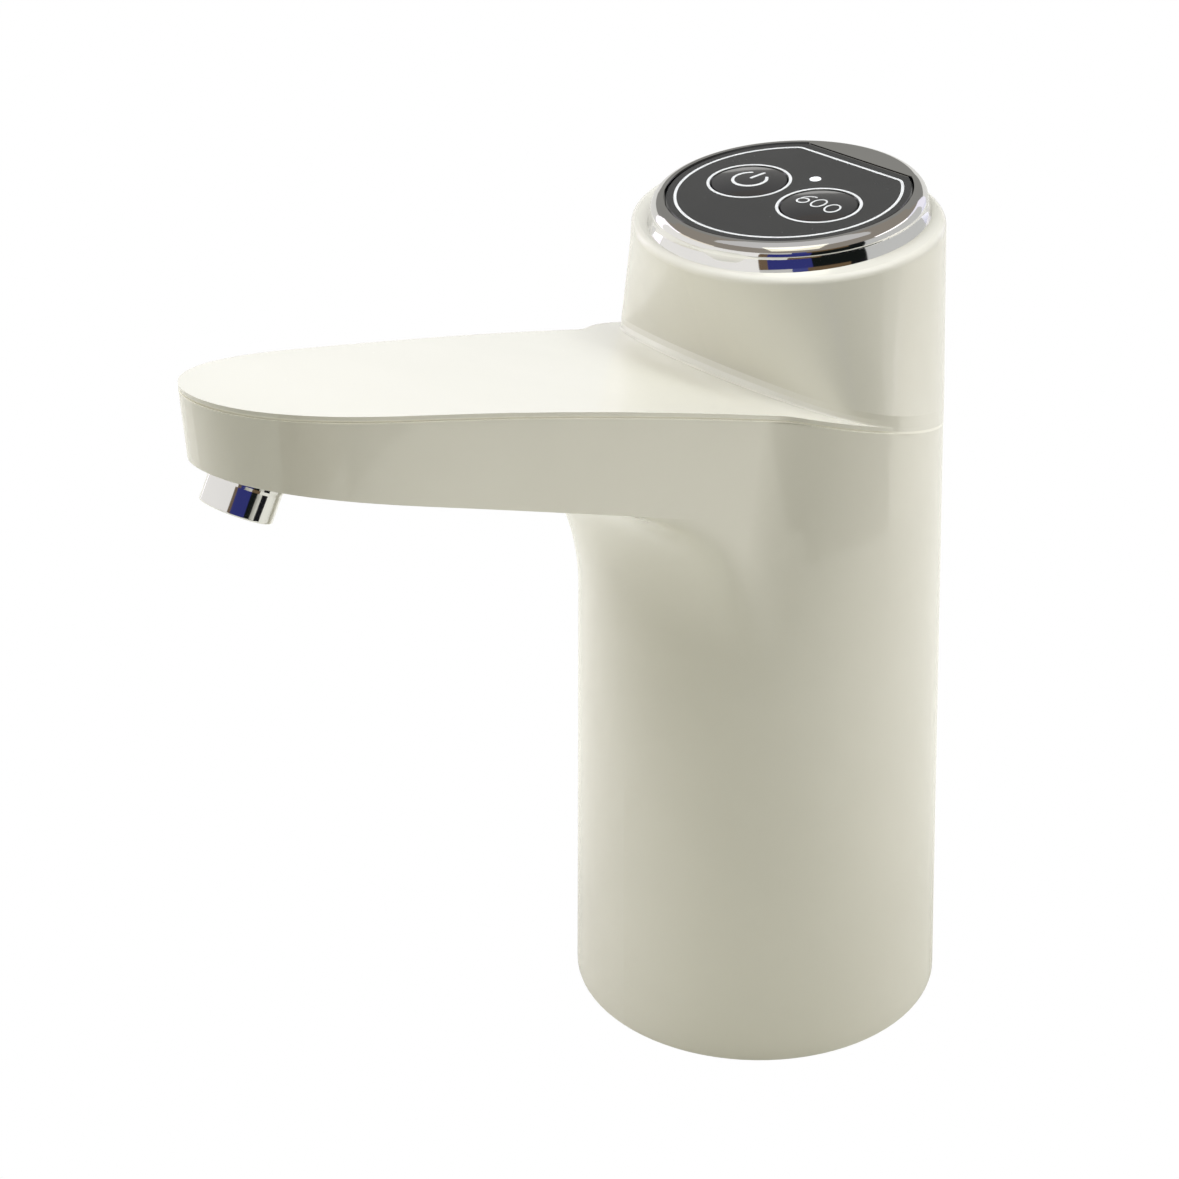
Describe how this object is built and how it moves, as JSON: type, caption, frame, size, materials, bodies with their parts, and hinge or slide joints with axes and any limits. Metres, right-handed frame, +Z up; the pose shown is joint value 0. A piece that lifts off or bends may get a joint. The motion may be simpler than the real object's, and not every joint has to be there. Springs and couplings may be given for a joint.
{
  "type": "bottle pump",
  "caption": "Electric water pump that stands on a bottle's neck, with a tapered round body, a long upward spout and a tilted round panel with two push buttons.",
  "frame": {"origin": "on the body's axis, on the plane that the foot of the body stands on", "axes": "+Z up along the body's axis, +X the way the spout points; the outside is symmetric about the XZ plane"},
  "size_m": [0.1539, 0.07, 0.159],
  "materials": {
    "housing_white": "glossy white moulded ABS",
    "panel_black": "glossy black panel, slightly smoked",
    "button_black": "glossy black",
    "bezel_chrome": "bright plated plastic",
    "nozzle_chrome": "bright plated tube",
    "light_clear": "clear light pipe",
    "lamp": "surface-mount lamp",
    "liner_dark": "dark moulded",
    "frame_grey": "moulded grey chassis",
    "pump_plastic": "moulded acetal",
    "gear_plastic": "natural acetal",
    "switch_black": "moulded",
    "board_green": "green circuit board",
    "chip_black": "moulded chips",
    "silicone_clear": "milky silicone",
    "seal_rubber": "black rubber",
    "gasket_silicone": "grey silicone",
    "steel": "zinc plated steel",
    "motor_steel": "drawn steel can",
    "magnet": "sintered ferrite",
    "copper": "steel shaft with copper windings",
    "cell_wrap": "shrink-wrapped steel cell",
    "tab_nickel": "nickel strip"
  },
  "bodies": {
    "body": {"lower_housing": "housing_white", "upper_housing": "housing_white", "bezel_ring": "bezel_chrome", "control_panel": "panel_black", "switch_bodies": "switch_black", "button_board": "board_green", "status_light": "lamp", "light_pipe": "light_clear", "button_board_screws": "steel", "housing_screws": "steel", "neck_gasket": "gasket_silicone", "base_plate": "housing_white", "base_screws": "steel", "frame_screws": "steel", "inlet_fitting": "pump_plastic", "inlet_seal": "seal_rubber", "inner_frame": "frame_grey", "battery_cell": "cell_wrap", "battery_tabs": "tab_nickel", "motor_can": "motor_steel", "motor_end_cap": "switch_black", "motor_magnets": "magnet", "motor_screws": "steel", "pump_body": "pump_plastic", "pump_gasket": "seal_rubber", "pump_cover": "pump_plastic", "shaft_seal": "seal_rubber", "idler_pin": "steel", "pump_screws": "steel", "inlet_tube": "silicone_clear", "outlet_tube": "silicone_clear", "spout_elbow": "liner_dark", "spout_nozzle": "nozzle_chrome", "nozzle_liner": "liner_dark", "nozzle_washer": "seal_rubber", "main_board": "board_green", "board_chips": "chip_black", "usb_socket": "steel", "main_board_screws": "steel"},
    "power_button": {"power_button": "button_black", "power_switch_stem": "switch_black"},
    "volume_button": {"volume_button": "button_black", "volume_switch_stem": "switch_black"},
    "pump_rotor": {"motor_rotor": "copper", "drive_gear": "gear_plastic"},
    "idler": {"idler_gear": "gear_plastic"}
  },
  "joints": [
    {"name": "power_press", "type": "slide", "parent": "body", "child": "power_button", "axis": [-0.0706, 0, -0.9975], "range_m": [0, 0.0008], "stiffness_N_per_m": 1500, "springref_m": -0.0006},
    {"name": "volume_press", "type": "slide", "parent": "body", "child": "volume_button", "axis": [-0.0706, 0, -0.9975], "range_m": [0, 0.0008], "stiffness_N_per_m": 1500, "springref_m": -0.0006},
    {"name": "pump_spin", "type": "hinge", "parent": "body", "child": "pump_rotor", "pos_m": [0.0034, 0, 0.055], "axis": [0, 0, 1], "continuous": true},
    {"name": "idler_spin", "type": "hinge", "parent": "body", "child": "idler", "pos_m": [0.0034, 0.01215, 0.055], "axis": [0, 0, 1], "continuous": true}
  ],
  "couplings": [
    {"joint": "idler_spin", "follows": "pump_spin", "ratio": -1}
  ]
}
